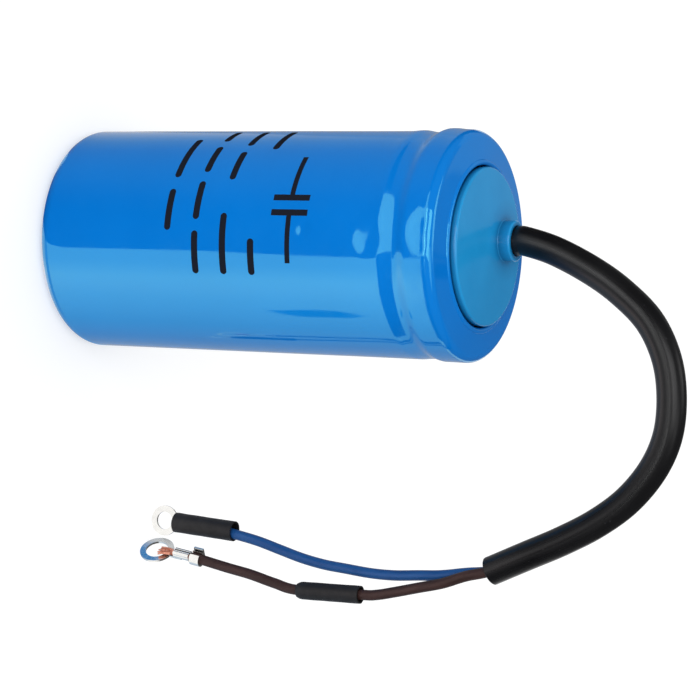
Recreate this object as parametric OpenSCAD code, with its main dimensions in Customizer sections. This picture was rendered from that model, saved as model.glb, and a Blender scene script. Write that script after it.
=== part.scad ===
// Motor start capacitor: a sleeved aluminium can with a moulded end cap,
// a two-core cable and a ring terminal on each core.
// Millimetres. The can stands on its foot at the origin with its axis up Z.

/* [Body] */
// Diameter of the body over its sleeve
body_d = 50; // [40:0.5:70]
// Height from the foot to the folded top lip of the sleeve
body_h = 99.4; // [85:0.2:140]
// Rounding of the sleeve round the foot
foot_round = 3.6; // [2:0.1:6]
// Width of the fold of the sleeve under the foot, in from the side of the body
foot_fold_w = 7; // [6.2:0.1:12]
// Width of the folded top lip of the sleeve, in from the side of the body
lip_w = 6.8; // [5:0.1:9]
// Rounding of the shoulder under the lip
shoulder_round = 2; // [1.4:0.1:4]
// Rise of the top lip above the shoulder
shoulder_drop = 1; // [0.2:0.1:2]
// Swelling of the radius above the bead
rim_swell = 0.25; // [0:0.05:0.6]
// Thickness of the shrink sleeve
sleeve_wall = 0.4; // [0.2:0.05:0.6]

/* [Can] */
// Wall of the drawn can
can_wall = 0.7; // [0.4:0.05:0.9]
// Width of the curled rim of the can, in from the side of the body
rim_w = 5.5; // [4:0.1:6.5]
// Distance from the top lip down to the middle of the rolled bead
bead_drop = 10.9; // [9:0.1:16]
// Width of the rolled bead
bead_width = 6; // [4:0.2:8]
// Depth of the bead in the can
bead_depth = 1.8; // [1:0.1:2.6]
// Depth to which the sleeve sinks over the bead
sleeve_bead_depth = 0.5; // [0.1:0.05:0.9]

/* [Winding] */
// Gap between the wound element and the wall of the can
winding_gap = 1.28; // [0.4:0.02:2]
// Diameter of the mandrel hole through the winding
mandrel_d = 5; // [3:0.5:10]
// Thickness of the insulating pad under the winding
foot_pad_h = 1.2; // [0.6:0.1:1.5]
// Thickness of the insulating washer over the winding
top_pad_h = 1.5; // [0.8:0.1:3]
// Clearance of the lead tabs in the opening of that washer
tab_gap = 2.5; // [0.5:0.1:4]

/* [Seal] */
// Thickness of the sealing disc
seal_disc_h = 1.5; // [1:0.1:2.5]
// Width of the rubber gasket under the curled rim
gasket_w = 4.2; // [2:0.1:5]

/* [End cap] */
// Gap between the folded lip of the sleeve and the raised face of the cap
cap_gap = 0.9; // [0.2:0.1:1.4]
// Rise of the cap face above the top lip
cap_rise = 1.4; // [0.4:0.1:3]
// Thickness of the cap face
cap_plate = 2.5; // [1.5:0.1:3]
// Side wall of the cap
cap_wall = 2.5; // [1.5:0.1:3]
// Rounding of the edge of the cap face
cap_edge_round = 0.6; // [0.2:0.1:1.2]
// Thickness of the clamped flange of the cap
cap_flange_h = 2.2; // [1.5:0.1:3]
// Wall of the cable boss
boss_wall = 1.25; // [0.6:0.05:2]
// Height of the cable boss above the cap face
boss_h = 2.8; // [1.5:0.1:6]
// Offset of the boss across the cap
boss_x = -1.8; // [-4:0.1:4]
// Distance from the edge of the cap face to the middle of the boss, along the cap
boss_edge = 8.6; // [7.2:0.1:12]

/* [Inner leads] */
// Width of an aluminium lead tab
tab_w = 3; // [2:0.1:3.4]
// Thickness of a lead tab
tab_sheet = 0.3; // [0.15:0.05:0.5]
// Distance from a rivet to the upright leg of its tab
tab_reach = 3; // [2.2:0.1:4]
// Diameter of a rivet shank
rivet_d = 1.8; // [1.2:0.1:2]
// Diameter of a rivet head
rivet_head_d = 3; // [2.4:0.1:3.4]
// Height of a rivet head
rivet_head_h = 0.5; // [0.3:0.1:0.8]
// Distance from the cable to a rivet
rivet_reach = 5; // [4:0.1:5.6]
// Gap between the two solder strips
strip_gap = 0.3; // [0.1:0.05:0.5]
// Margin of a solder strip round its rivet
strip_edge = 0.6; // [0.3:0.1:0.8]
// Thickness of a solder strip
strip_sheet = 0.8; // [0.4:0.1:1]

/* [Cable] */
// Wall of the cable jacket
cable_wall = 0.6; // [0.4:0.05:0.9]
// Play of the cores in the jacket
cable_play = 0.2; // [0.1:0.05:0.5]
// Length of jacket inside the cap
cable_tail = 1; // [0.5:0.1:2]
// Diameter of an insulated core
core_d = 2.4; // [2:0.05:2.8]
// Gap between the two cores inside the jacket
core_gap = 0.1; // [0.06:0.02:0.3]

/* [Ring terminals] */
// Sheet thickness of a terminal
lug_sheet = 0.5; // [0.4:0.05:0.7]
// Diameter of the ring on the blue core
blue_ring_d = 7.2; // [6.6:0.1:8]
// Screw hole in the ring on the blue core
blue_hole_d = 4.2; // [3.2:0.1:4.6]
// Diameter of the ring on the brown core
brown_ring_d = 8.2; // [7.4:0.1:8.4]
// Screw hole in the ring on the brown core
brown_hole_d = 5.4; // [4.2:0.1:5.6]
// Width of the neck behind a ring
neck_w = 2; // [1.6:0.1:2.2]
// Length of the neck between a ring and its conductor barrel
neck_len = 1.1; // [0.8:0.1:2]
// Length of the conductor barrel
barrel_len = 4.2; // [3:0.1:5]
// Wall of the crimped conductor barrel
barrel_wall = 0.45; // [0.3:0.05:0.6]
// Diameter of each rolled wing along the seam
wing_roll_d = 1.1; // [0.8:0.05:1.3]
// Width of the seam between the rolled wings
seam_w = 0.16; // [0.08:0.02:0.3]
// Step between the two barrels
bridge_len = 0.6; // [0.4:0.1:1]
// Length of the grip round the insulation
grip_len = 2.5; // [2:0.1:3.5]
// Opening between the wings of the grip
grip_gap = 1.2; // [0.6:0.1:1.6]
// Rise of the wing left open on the brown core
wing_rise = 2; // [1.4:0.1:2.6]

/* [Strands] */
// Diameter of a bare strand
strand_d = 0.4; // [0.3:0.02:0.5]
// Gap between the strands in the crimp
strand_gap = 0.03; // [0.02:0.01:0.06]
// Distance from the edge of the screw hole back to the strand ends
strand_back = 0.25; // [0.05:0.05:1]
// Rise of the strand ends above the ring
strand_lift = 0.35; // [0.1:0.05:0.8]
// Spread of the strand ends to the sides
strand_spread_share = 2.2; // [1.2:0.1:3]
// Flattening of the strand ends
strand_flat_share = 0.7; // [0.6:0.05:0.9]

/* [Lead sleeves] */
// Length of a lead sleeve
lead_sleeve_len = 16; // [12:0.5:16]
// Wall of a lead sleeve
lead_sleeve_wall = 0.4; // [0.3:0.05:0.5]
// Room between the grip of the blue terminal and its sleeve
blue_sleeve_fit = 0.23; // [0.05:0.01:0.6]
// How far that sleeve laps over the ring
sleeve_lap = 0.1; // [0.05:0.05:0.3]
// Room between the brown core and its sleeve
brown_sleeve_fit = 0.45; // [0.1:0.05:0.8]

/* [Fits] */
// Snug clearance between pieces pressed or shrunk together
snug = 0.02; // [0.01:0.01:0.05]
// Play between pieces that drop together
play = 0.1; // [0.05:0.01:0.15]
// Overrun of a cut beyond the face it opens
overrun = 1; // [0.5:0.5:2]

/* [Hidden] */
$fn = 96;
half_share = 0.5;
full_turn = 360;
arc_steps = 8;
bead_steps = 16;
// How far up the flank of the bead a flat piece seats
seat_share = 0.44;

// Radii and levels of the body
body_r = body_d * half_share;
rim_r = body_r + rim_swell;
shoulder_z = body_h - shoulder_drop;
shoulder_r = rim_r - shoulder_round;
bead_z = body_h - bead_drop;
can_inset = sleeve_wall + snug;
bore_inset = can_inset + can_wall;
foot_pad_z = bore_inset + snug;
winding_z = foot_pad_z + foot_pad_h + snug;
top_pad_z = bead_z - bead_width * seat_share - top_pad_h;
winding_h = top_pad_z - snug - winding_z;
winding_r = body_r - bore_inset - winding_gap;
foot_open_r = body_r - foot_fold_w;
lip_open_r = body_r - lip_w;
rim_open_r = body_r - rim_w;
seal_disc_z = bead_z + bead_width * seat_share;
seal_disc_top = seal_disc_z + seal_disc_h;
cap_z = seal_disc_top + snug;
cap_top = body_h + cap_rise;
flange_top = cap_z + cap_flange_h;
boss_top = cap_top + boss_h;
cap_r = lip_open_r - cap_gap;
cap_bore_r = cap_r - cap_wall;
boss_y = cap_r - boss_edge;
seated_r = rim_r - bore_inset - play;

// Cable and cores
core_r = core_d * half_share;
core_pitch = core_d + core_gap;
core_shift = core_pitch * half_share;
cable_r = core_r + core_shift + cable_play + cable_wall;
boss_r = cable_r + boss_wall;
strip_w = core_pitch - strip_gap;
cable_sides = 12;
core_sides = 8;
strand_sides = 6;
strand_ring = 6;
level = [0, 1, 0];
strip_top = seal_disc_top + snug + strip_sheet;
exit = [boss_x, boss_y, boss_top];
cable_start = [boss_x, boss_y, cap_top - cap_plate - cable_tail];

// Route of the jacket, from the mouth of the boss to its cut end
jacket_turns = [[0, 0, 2], [2, 0.5, 9], [6, 0.5, 17.5], [10.5, 1, 24.5], [16.5, 1, 31], [24, 1.5, 35],
    [32, 1.5, 36.5], [40.5, 2, 36], [48, 2, 33], [55, 2.5, 27.5], [60.5, 2.5, 20.5],
    [65, 3, 12.5], [69, 3, 4], [73, 3.5, -4.5]];
// Routes of the free cores, measured from the mouth of the boss
blue_turns = [[74, 5, -11], [75, 5, -17], [75.5, 5.5, -23], [76, 5.5, -29], [76, 6, -35],
    [75.5, 6, -41.5], [75, 6.5, -47.5], [74, 7, -53.5], [72.5, 7, -59.5], [71, 7.5, -65.5]];
brown_turns = [[74.5, 2.5, -10], [76.5, 2.5, -15.5], [78, 2.5, -21.5], [79.5, 3, -27.5], [80.5, 3, -32]];
brown_returns = [[80, 3.5, -58.5], [78.5, 3.5, -65], [77.5, 3.5, -71]];
// Upper end of the straight stretch that carries the brown lead sleeve, and its lean
brown_sleeve_at = [80.8, 3, -36];
brown_sleeve_lean = -1;

// Ring centre, lean and twist of each terminal
blue_lug_turn = [68, 8.5, -91.5];
blue_lug_at = exit + blue_lug_turn;
blue_lug_lean = 3.5;
blue_lug_twist = 90;
brown_lug_turn = [75, 4.5, -91];
brown_lug_at = exit + brown_lug_turn;
brown_lug_lean = 8.5;
brown_lug_twist = 36;

// Section of a terminal
strand_r = strand_d * half_share;
strand_orbit = strand_d + strand_gap;
bore_r = strand_orbit + strand_r + snug;
barrel_r = bore_r + barrel_wall;
lug_axis = barrel_r - lug_sheet * half_share;
grip_r = core_r + snug + lug_sheet;
strand_rise = lug_sheet + strand_lift + strand_r + strand_orbit * strand_flat_share;
wing_roll_r = wing_roll_d * half_share;
wing_roll_y = barrel_r - wing_roll_r;

// Distances from the ring centre along a terminal
function barrel_from(ring_d) = ring_d * half_share + neck_len;
function bridge_from(ring_d) = barrel_from(ring_d) + barrel_len;
function grip_from(ring_d) = bridge_from(ring_d) + bridge_len;
function grip_to(ring_d) = grip_from(ring_d) + grip_len;
function core_end(ring_d) = grip_from(ring_d) + snug;

function unit(v) = v / norm(v);
function flip(list) = [for (i = [len(list) - 1:-1:0]) list[i]];
function arc(centre, radius, from, to) = [for (i = [0:arc_steps])
    let (a = from + (to - from) * i / arc_steps) centre + radius * [cos(a), sin(a)]];
// Height of the shoulder cone at a radius
function cone_z(r) = shoulder_z + shoulder_drop * (shoulder_r - r) / (shoulder_r - lip_open_r);
// Meridian of the body at a depth under the outer face of the sleeve
function skin(inset, groove, foot_r, lip_r) = concat(
    [[foot_r, inset]],
    arc([body_r - foot_round, foot_round], foot_round - inset, -90, 0),
    [for (i = [0:bead_steps]) let (s = i / bead_steps)
        [body_r - inset + rim_swell * s - groove * (1 - cos(full_turn * s)) * half_share,
         bead_z + bead_width * (s - half_share)]],
    arc([shoulder_r, shoulder_z - shoulder_round], shoulder_round - inset, 0, 90),
    [[lip_r, cone_z(lip_r) - inset]]);

// Frame of a swept cord at one of its route points
function heading(path, i) = unit(path[min(i + 1, len(path) - 1)] - path[max(i - 1, 0)]);
function across(path, i) = unit(cross(level, heading(path, i)));
function upright(path, i) = cross(heading(path, i), across(path, i));
function ring(path, i, r, n) = [for (k = [0:n - 1]) let (a = full_turn * k / n)
    path[i] + r * (cos(a) * across(path, i) + sin(a) * upright(path, i))];
function rings(path, r, n) = [for (i = [0:len(path) - 1]) each ring(path, i, r, n)];
function strip_faces(m, n, base) = [for (i = [0:m - 2], k = [0:n - 1])
    let (a = base + i * n + k, b = base + i * n + (k + 1) % n)
    each [[a, a + n, b + n], [a, b + n, b]]];
function loop_faces(n, outer, inner) = [for (k = [0:n - 1]) let (j = (k + 1) % n)
    each [[outer + k, outer + j, inner + j], [outer + k, inner + j, inner + k]]];
function turned(faces) = [for (f = faces) flip(f)];

// A point of a terminal carried to its place
function about_z(a, p) = [p.x * cos(a) - p.y * sin(a), p.x * sin(a) + p.y * cos(a), p.z];
function about_y(a, p) = [p.x * cos(a) + p.z * sin(a), p.y, p.z * cos(a) - p.x * sin(a)];
function seated(at, lean, twist, p) = at + about_y(lean, about_z(twist, about_y(-90, p)));

jacket_path = concat([cable_start, exit], [for (p = jacket_turns) exit + p]);
function core_start(shift) = [boss_x, boss_y + shift, strip_top + snug];
function core_inside(shift) = concat([core_start(shift)], [for (i = [0:len(jacket_path) - 1])
    jacket_path[i] + shift * upright(jacket_path, i)]);
blue_sleeve_r = grip_r + blue_sleeve_fit + lead_sleeve_wall;
brown_sleeve_r = core_r + brown_sleeve_fit + lead_sleeve_wall;
blue_sleeve_from = blue_ring_d * half_share - sleeve_lap;
blue_sleeve_to = blue_sleeve_from + lead_sleeve_len;
blue_drift = blue_sleeve_r - lead_sleeve_wall - core_r - play;
function core_entry(ring_d) = [[grip_to(ring_d), 0, lug_axis], [core_end(ring_d), 0, lug_axis]];
blue_entry = concat([[blue_sleeve_to, -blue_drift, lug_axis]], core_entry(blue_ring_d));
brown_entry = core_entry(brown_ring_d);
brown_sleeve_top = exit + brown_sleeve_at;
brown_sleeve_foot = brown_sleeve_top + about_y(brown_sleeve_lean, [0, 0, -lead_sleeve_len]);
blue_path = concat(core_inside(core_shift), [for (p = blue_turns) exit + p],
    [for (p = blue_entry) seated(blue_lug_at, blue_lug_lean, blue_lug_twist, p)]);
brown_path = concat(core_inside(-core_shift), [for (p = brown_turns) exit + p],
    [brown_sleeve_top, brown_sleeve_foot], [for (p = brown_returns) exit + p],
    [for (p = brown_entry) seated(brown_lug_at, brown_lug_lean, brown_lug_twist, p)]);

// A solid cord swept along a route
module cord(path, r, n) {
    m = len(path);
    polyhedron(
        points = rings(path, r, n),
        faces = concat([[for (k = [0:n - 1]) k]], strip_faces(m, n, 0),
            [[for (k = [n - 1:-1:0]) (m - 1) * n + k]]),
        convexity = 6);
}

// A hollow cord swept along a route
module sheath(path, r, bore, n) {
    m = len(path);
    polyhedron(
        points = concat(rings(path, r, n), rings(path, bore, n)),
        faces = concat(strip_faces(m, n, 0), turned(strip_faces(m, n, m * n)),
            loop_faces(n, 0, m * n), turned(loop_faces(n, (m - 1) * n, (2 * m - 1) * n))),
        convexity = 6);
}

// Seats a terminal on its ring centre, its barrel leading away up the core
module seat(at, lean, twist) {
    translate(at)
        rotate([0, lean, 0])
            rotate([0, 0, twist])
                rotate([0, -90, 0])
                    children();
}

// A cylinder lying along the barrel axis of a terminal
module rod(from, length, r, y = 0, z = 0) {
    translate([from, y, lug_axis + z])
        rotate([0, 90, 0])
            cylinder(r = r, h = length);
}

// Tube of revolution between two heights
module washer(z, h, outer_r, inner_r) {
    translate([0, 0, z])
        difference() {
            cylinder(r = outer_r, h = h);
            translate([0, 0, -overrun])
                cylinder(r = inner_r, h = h + 2 * overrun);
        }
}

// Position of a rivet: one core leads each way from the cable
function rivet_at(side) = [boss_x + side * rivet_reach, boss_y + side * core_shift];
// Near edge of the upright leg of a tab, on the cable's side of its rivet
function leg_x(side) = rivet_at(side).x - side * tab_reach;
// Distance from the axis of the can to the far corner of that leg
function leg_far_r(side) = norm([abs(leg_x(side)) + tab_sheet, rivet_at(side).y + tab_w * half_share]);

module rivet_hole(side, z, h) {
    translate([rivet_at(side).x, rivet_at(side).y, z - overrun])
        cylinder(d = rivet_d + 2 * snug, h = h + 2 * overrun);
}

// Heat-shrunk sleeve, folded under the foot and over the curled rim
module shrink_sleeve() {
    color([0.06, 0.44, 0.78])
        rotate_extrude()
            polygon(concat(
                skin(0, sleeve_bead_depth, foot_open_r, lip_open_r),
                flip(skin(sleeve_wall, sleeve_bead_depth, foot_open_r, lip_open_r))));
}

// Drawn cup with a rolled bead and a rim curled over the cap
module can() {
    color([0.78, 0.79, 0.8])
        rotate_extrude()
            polygon(concat(
                skin(can_inset, bead_depth, 0, rim_open_r),
                flip(skin(bore_inset, bead_depth, 0, rim_open_r))));
}

module foot_pad() {
    color([0.82, 0.72, 0.52])
        translate([0, 0, foot_pad_z])
            cylinder(r = body_r - foot_round - play, h = foot_pad_h);
}

// Wound foil and paper with the hole its mandrel leaves
module winding() {
    color([0.86, 0.8, 0.66])
        washer(winding_z, winding_h, winding_r, mandrel_d * half_share);
}

// Washer that the bead holds down on the winding
module top_pad() {
    color([0.82, 0.72, 0.52])
        washer(top_pad_z, top_pad_h, body_r - bore_inset - play,
            max(leg_far_r(1), leg_far_r(-1)) + tab_gap);
}

// Foil tab: an upright leg from the winding and a foot under the sealing disc
module tab(side) {
    rivet = rivet_at(side);
    foot_z = seal_disc_z - snug - tab_sheet;
    leg_z = winding_z + winding_h;
    toe_x = rivet.x + side * tab_w * half_share;
    difference() {
        union() {
            translate([min(leg_x(side), toe_x), rivet.y - tab_w * half_share, foot_z])
                cube([tab_reach + tab_w * half_share, tab_w, tab_sheet]);
            translate([leg_x(side) - (1 - side) * half_share * tab_sheet, rivet.y - tab_w * half_share, leg_z])
                cube([tab_sheet, tab_w, foot_z + tab_sheet - leg_z]);
        }
        rivet_hole(side, foot_z, tab_sheet);
    }
}

module blue_tab() {
    color([0.75, 0.76, 0.78])
        tab(1);
}

module brown_tab() {
    color([0.75, 0.76, 0.78])
        tab(-1);
}

// Disc seated on the upper flank of the bead
module seal_disc() {
    color([0.36, 0.2, 0.12])
        difference() {
            translate([0, 0, seal_disc_z])
                cylinder(r = seated_r, h = seal_disc_h);
            rivet_hole(1, seal_disc_z, seal_disc_h);
            rivet_hole(-1, seal_disc_z, seal_disc_h);
        }
}

// Rubber ring squeezed between the cap flange and the curled rim
module gasket() {
    outer_r = shoulder_r - play;
    inner_r = outer_r - gasket_w;
    color([0.08, 0.08, 0.08])
        rotate_extrude()
            polygon([[inner_r, flange_top + snug], [outer_r, flange_top + snug],
                [outer_r, cone_z(outer_r) - bore_inset - snug], [inner_r, cone_z(inner_r) - bore_inset - snug]]);
}

// Rivet through tab, disc and solder strip
module rivet(side) {
    foot_z = seal_disc_z - snug - tab_sheet;
    translate([rivet_at(side).x, rivet_at(side).y, 0]) {
        translate([0, 0, foot_z - snug - rivet_head_h])
            cylinder(d = rivet_head_d, h = rivet_head_h);
        translate([0, 0, foot_z - snug - rivet_head_h])
            cylinder(d = rivet_d, h = strip_top - foot_z + 2 * (rivet_head_h + snug));
        translate([0, 0, strip_top + snug])
            cylinder(d = rivet_head_d, h = rivet_head_h);
    }
}

module blue_rivet() {
    color([0.7, 0.7, 0.72])
        rivet(1);
}

module brown_rivet() {
    color([0.7, 0.7, 0.72])
        rivet(-1);
}

// Solder strip on the sealing disc, from a core to an eye round its rivet
module strip(side) {
    rivet = rivet_at(side);
    start = boss_x - side * strip_w * half_share;
    difference() {
        union() {
            translate([min(start, rivet.x), rivet.y - strip_w * half_share, strip_top - strip_sheet])
                cube([abs(rivet.x - start), strip_w, strip_sheet]);
            translate([rivet.x, rivet.y, strip_top - strip_sheet])
                cylinder(r = rivet_d * half_share + strip_edge, h = strip_sheet);
        }
        rivet_hole(side, strip_top - strip_sheet, strip_sheet);
    }
}

module blue_strip() {
    color([0.8, 0.66, 0.3])
        strip(1);
}

module brown_strip() {
    color([0.8, 0.66, 0.3])
        strip(-1);
}

// Moulded cap: clamped flange, raised face and an off-centre cable boss
module end_cap() {
    color([0.12, 0.5, 0.76])
        difference() {
            union() {
                rotate_extrude()
                    polygon(concat(
                        [[cap_bore_r, cap_z], [seated_r, cap_z], [seated_r, flange_top], [cap_r, flange_top]],
                        arc([cap_r - cap_edge_round, cap_top - cap_edge_round], cap_edge_round, 0, 90),
                        [[0, cap_top], [0, cap_top - cap_plate], [cap_bore_r, cap_top - cap_plate]]));
                translate([boss_x, boss_y, cap_top - cap_plate * half_share])
                    cylinder(r = boss_r, h = boss_h + cap_plate * half_share);
            }
            translate([boss_x, boss_y, cap_top - cap_plate - overrun])
                cylinder(r = cable_r + snug, h = cap_plate + boss_h + 2 * overrun);
        }
}

module cable_jacket() {
    color([0.05, 0.05, 0.055])
        sheath(jacket_path, cable_r, cable_r - cable_wall, cable_sides);
}

module blue_core() {
    color([0.08, 0.24, 0.62])
        cord(blue_path, core_r, core_sides);
}

module brown_core() {
    color([0.24, 0.16, 0.13])
        cord(brown_path, core_r, core_sides);
}

// Open-barrel ring terminal: flat ring, rolled conductor crimp, stepped bridge and insulation grip
module terminal(ring_d, hole_d, open_wing) {
    barrel_x = barrel_from(ring_d);
    bridge_x = bridge_from(ring_d);
    grip_x = grip_from(ring_d);
    channel_x = ring_d * half_share + play;
    difference() {
        union() {
            cylinder(d = ring_d, h = lug_sheet);
            translate([0, -neck_w * half_share, 0])
                cube([barrel_x + barrel_len * half_share, neck_w, lug_sheet]);
            rod(barrel_x, barrel_len, barrel_r);
            for (side = [-1, 1])
                rod(barrel_x, barrel_len, wing_roll_r, side * wing_roll_y, wing_roll_y);
            translate([bridge_x, 0, lug_axis])
                rotate([0, 90, 0])
                    cylinder(r1 = barrel_r, r2 = grip_r, h = bridge_len);
            rod(grip_x, grip_len, grip_r);
            if (open_wing)
                translate([grip_x, core_r + snug, lug_axis])
                    cube([grip_len, lug_sheet, wing_rise]);
        }
        translate([0, 0, -overrun])
            cylinder(d = hole_d, h = lug_sheet + 2 * overrun);
        // Channel for the strands, through the neck and the barrel, and the seam over it
        rod(channel_x, grip_x - channel_x, bore_r);
        translate([barrel_x - overrun, -seam_w * half_share, lug_axis])
            cube([barrel_len + overrun, seam_w, 2 * barrel_r]);
        // Open top of the bridge and of the grip
        translate([bridge_x, -grip_r, lug_axis - bore_r * half_share])
            cube([bridge_len, 2 * grip_r, grip_r + wing_rise]);
        rod(grip_x, grip_len + overrun, core_r + snug);
        translate([bridge_x, -grip_gap * half_share, lug_axis])
            cube([bridge_len + grip_len + overrun, grip_gap, grip_r + wing_rise]);
        translate([bridge_x, 0, lug_axis])
            rotate([0, 90, 0])
                cylinder(r1 = bore_r, r2 = core_r + snug, h = bridge_len);
    }
}

module blue_terminal() {
    color([0.82, 0.83, 0.84])
        seat(blue_lug_at, blue_lug_lean, blue_lug_twist)
            terminal(blue_ring_d, blue_hole_d, false);
}

module brown_terminal() {
    color([0.82, 0.83, 0.84])
        seat(brown_lug_at, brown_lug_lean, brown_lug_twist)
            terminal(brown_ring_d, brown_hole_d, true);
}

// Bundle of bare strands: one along the axis and six round it, which rise on to the ring
// and, where they reach over it, splay
module strands(ring_d, splay_to) {
    for (k = [0:strand_ring]) {
        turn = full_turn * k / strand_ring;
        y = k == 0 ? 0 : strand_orbit * cos(turn);
        z = k == 0 ? 0 : strand_orbit * sin(turn);
        cord(concat(
            [[grip_from(ring_d), y, lug_axis + z], [barrel_from(ring_d) + play, y, lug_axis + z],
                [ring_d * half_share + play, y, strand_rise + z]],
            splay_to > 0
                ? [[splay_to, y * strand_spread_share, strand_rise + z * strand_flat_share]]
                : []),
            strand_r, strand_sides);
    }
}

module blue_strands() {
    color([0.72, 0.38, 0.22])
        seat(blue_lug_at, blue_lug_lean, blue_lug_twist)
            strands(blue_ring_d, 0);
}

module brown_strands() {
    color([0.72, 0.38, 0.22])
        seat(brown_lug_at, brown_lug_lean, brown_lug_twist)
            strands(brown_ring_d, brown_hole_d * half_share + strand_back);
}

// Soft tube drawn over a lead
module lead_sleeve(r) {
    washer(0, lead_sleeve_len, r, r - lead_sleeve_wall);
}

module blue_lead_sleeve() {
    color([0.09, 0.09, 0.1])
        seat(blue_lug_at, blue_lug_lean, blue_lug_twist)
            translate([blue_sleeve_from, 0, lug_axis])
                rotate([0, 90, 0])
                    lead_sleeve(blue_sleeve_r);
}

module brown_lead_sleeve() {
    color([0.09, 0.09, 0.1])
        translate(brown_sleeve_foot)
            rotate([0, brown_sleeve_lean, 0])
                lead_sleeve(brown_sleeve_r);
}

shrink_sleeve();
can();
foot_pad();
winding();
top_pad();
blue_tab();
brown_tab();
seal_disc();
gasket();
blue_rivet();
brown_rivet();
blue_strip();
brown_strip();
end_cap();
cable_jacket();
blue_core();
brown_core();
blue_terminal();
brown_terminal();
blue_strands();
brown_strands();
blue_lead_sleeve();
brown_lead_sleeve();
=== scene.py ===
"""Looks of a motor start capacitor: shrink film, moulded cap, cable, cores and ring terminals."""
import math

import bmesh
import bpy
from mathutils import Matrix, Vector, noise


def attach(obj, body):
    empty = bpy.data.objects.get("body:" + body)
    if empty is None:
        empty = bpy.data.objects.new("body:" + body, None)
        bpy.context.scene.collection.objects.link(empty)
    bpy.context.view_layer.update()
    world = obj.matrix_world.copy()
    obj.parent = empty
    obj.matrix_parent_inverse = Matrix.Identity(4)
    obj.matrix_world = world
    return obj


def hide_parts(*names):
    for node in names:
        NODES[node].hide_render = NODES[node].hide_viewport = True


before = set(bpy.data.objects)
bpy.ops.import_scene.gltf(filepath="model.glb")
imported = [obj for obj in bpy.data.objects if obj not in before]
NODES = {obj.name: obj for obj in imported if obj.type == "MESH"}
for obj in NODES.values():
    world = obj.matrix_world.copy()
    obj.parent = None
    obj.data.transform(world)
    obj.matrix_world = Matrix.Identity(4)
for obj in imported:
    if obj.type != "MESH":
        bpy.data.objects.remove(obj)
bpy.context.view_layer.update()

# Sizes here are in millimetres and angles in degrees
MM = 0.001

# View: the can stands upright, and the camera is turned on its side
VIEW_AIM = (23.63, 0.0, 68.16)
VIEW_DISTANCE = 548.29
VIEW_TILT = 26.8
VIEW_TURN = 92.475
LENS = 126.74
SENSOR = 36.0
CLIP_START = 10.0

# Shrink film over the can
BODY_R = 25.0
BODY_H = 99.4
FOOT_ROUND = 3.6
FOOT_OPEN_R = 18.0
LIP_ROLL_R = 0.7
LIP_ROLL_AT = (18.32, 98.95)
LIP_ROLL_FROM = 30.0
LIP_TUCK = 1.2
SHOULDER_ROUND = 2.0
SHOULDER_DROP = 0.8
RIM_SWELL = 0.35
FILM_WALL = 0.4

# Dip of the film over the rolled bead: its deepest line, its reach to either side and its softened ends
BEAD_Z = 89.8
BEAD_BELOW = 4.2
BEAD_ABOVE = 2.4
BEAD_DEPTH = 0.52
BEAD_SOFT = 0.22
BEAD_BACK_SHARE = 0.5

# Unevenness of the film: broad waves all over and finer creases beside the bead
WAVE_DEPTH = 0.03
WAVE_GRAIN = 1.6
WAVE_HEIGHT = 22.0
CREASE_DEPTH = 0.06
CREASE_GRAIN = 4.0
CREASE_HEIGHT = 6.0
CREASE_START = 9.0
CREASE_REACH = 7.0
# Ridges on the upper side in the picture, as height, rise and half width
RIDGES = [(85.4, 0.18, 1.6), (92.8, 0.3, 2.2)]
# Dimples, as place along the girth, height, half width, half height and depth
DIMPLES = [(-2.2, 96.0, 6.8, 3.2, 0.28), (0.4, 84.4, 4.2, 3.8, 0.26), (-1.6, 68.0, 3.0, 2.6, 0.24)]
DIMPLE_RAGGED = 0.35
DIMPLE_GRAIN = 3.0

# End cap and its cable boss
CAP_R = 17.3
CAP_TOP = 100.8
CAP_PLATE = 2.5
CAP_BORE_R = 14.8
CAP_EDGE_ROUND = 0.6
CAP_FOOT_Z = 92.66
FLANGE_R = 24.03
FLANGE_TOP = 94.86
BOSS_AT = (-1.8, 8.7)
BOSS_R = 4.5
BOSS_TOP = 103.6
BOSS_ROUND = 0.5
BOSS_FILLET = 0.25
BOSS_HOLE_R = 3.27
BOSS_HOLE_ROUND = 0.25

# Cable and cores, with the routes measured from the mouth of the boss
CABLE_R = 3.25
CABLE_WALL = 0.6
CABLE_EDGE = 0.15
CABLE_MOUTH = 8.0
CORE_R = 1.2
CORE_SHIFT = 1.25
CORE_STUB = 6.0
EXIT = Vector((*BOSS_AT, BOSS_TOP))
CABLE_START = Vector((*BOSS_AT, 97.3))
JACKET_TURNS = [
    (0, 0, 0), (0, 0, 2), (2, 0.5, 9), (6, 0.5, 17.5), (10.5, 1, 24.5), (16.5, 1, 31), (24, 1.5, 35),
    (32, 1.5, 36.5), (40.5, 2, 36), (48, 2, 33), (55, 2.5, 27.5), (60.5, 2.5, 20.5),
    (65, 3, 12.5), (69, 3, 4), (73, 3.5, -4.5)]
BLUE_TURNS = [
    (74, 5, -11), (75, 5, -17), (75.5, 5.5, -23), (76, 5.5, -29), (76, 6, -35),
    (75.5, 6, -41.5), (75, 6.5, -47.5), (74, 7, -53.5), (72.5, 7, -59.5), (71, 7.5, -65.5)]
BROWN_TURNS = [(74.5, 2.5, -10), (76.5, 2.5, -15.5), (78, 2.5, -21.5), (79.5, 3, -27.5), (80.5, 3, -32)]
BROWN_SLEEVE_TOP = (80.8, 3, -36)
BROWN_SLEEVE_LEAN = -1.0
BROWN_RETURNS = [(80, 3.5, -58.5), (78.5, 3.5, -65), (77.5, 3.5, -71)]

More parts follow.
